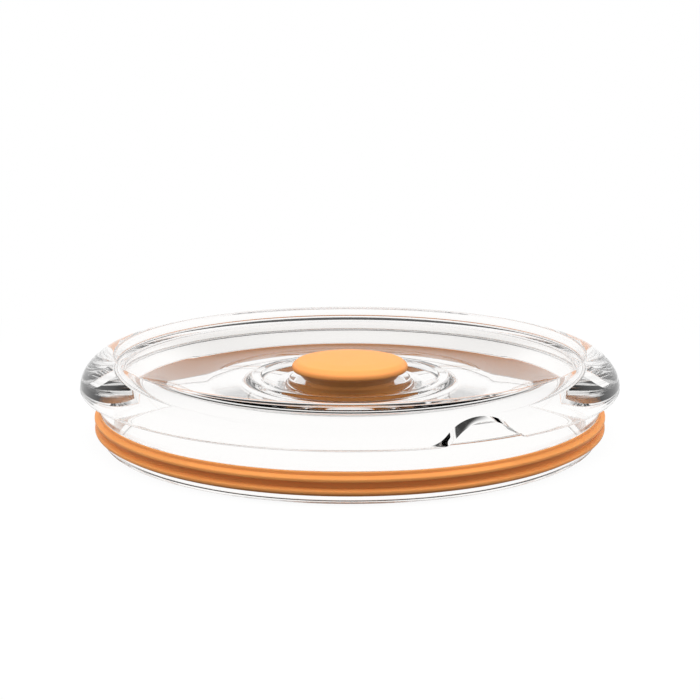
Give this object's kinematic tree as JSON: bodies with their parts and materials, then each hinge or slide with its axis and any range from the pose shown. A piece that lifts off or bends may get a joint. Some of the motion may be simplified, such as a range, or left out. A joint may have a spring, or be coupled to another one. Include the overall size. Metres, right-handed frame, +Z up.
{
  "type": "food storage bowl lid",
  "caption": "Round clear press-in lid for a food storage bowl: fat rounded rim, sunken dish, soft fin seal round the skirt and a pull-out vent plug in the middle.",
  "frame": {"origin": "middle of the skirt's lower edge, the ring that the lid stands on", "axes": "+Z up along the lid's axis, out of the dish; the fingertip notch faces -Y"},
  "size_m": [0.15, 0.1498, 0.0234],
  "materials": {
    "clear_plastic": "polished, water clear",
    "orange_silicone": "satin"
  },
  "bodies": {
    "lid": {"lid_shell": "clear_plastic", "rim_seal": "orange_silicone"},
    "plug": {"vent_plug": "orange_silicone"}
  },
  "joints": [
    {"name": "plug_lift", "type": "slide", "parent": "lid", "child": "plug", "axis": [0, 0, 1], "range_m": [0, 0.012]}
  ]
}
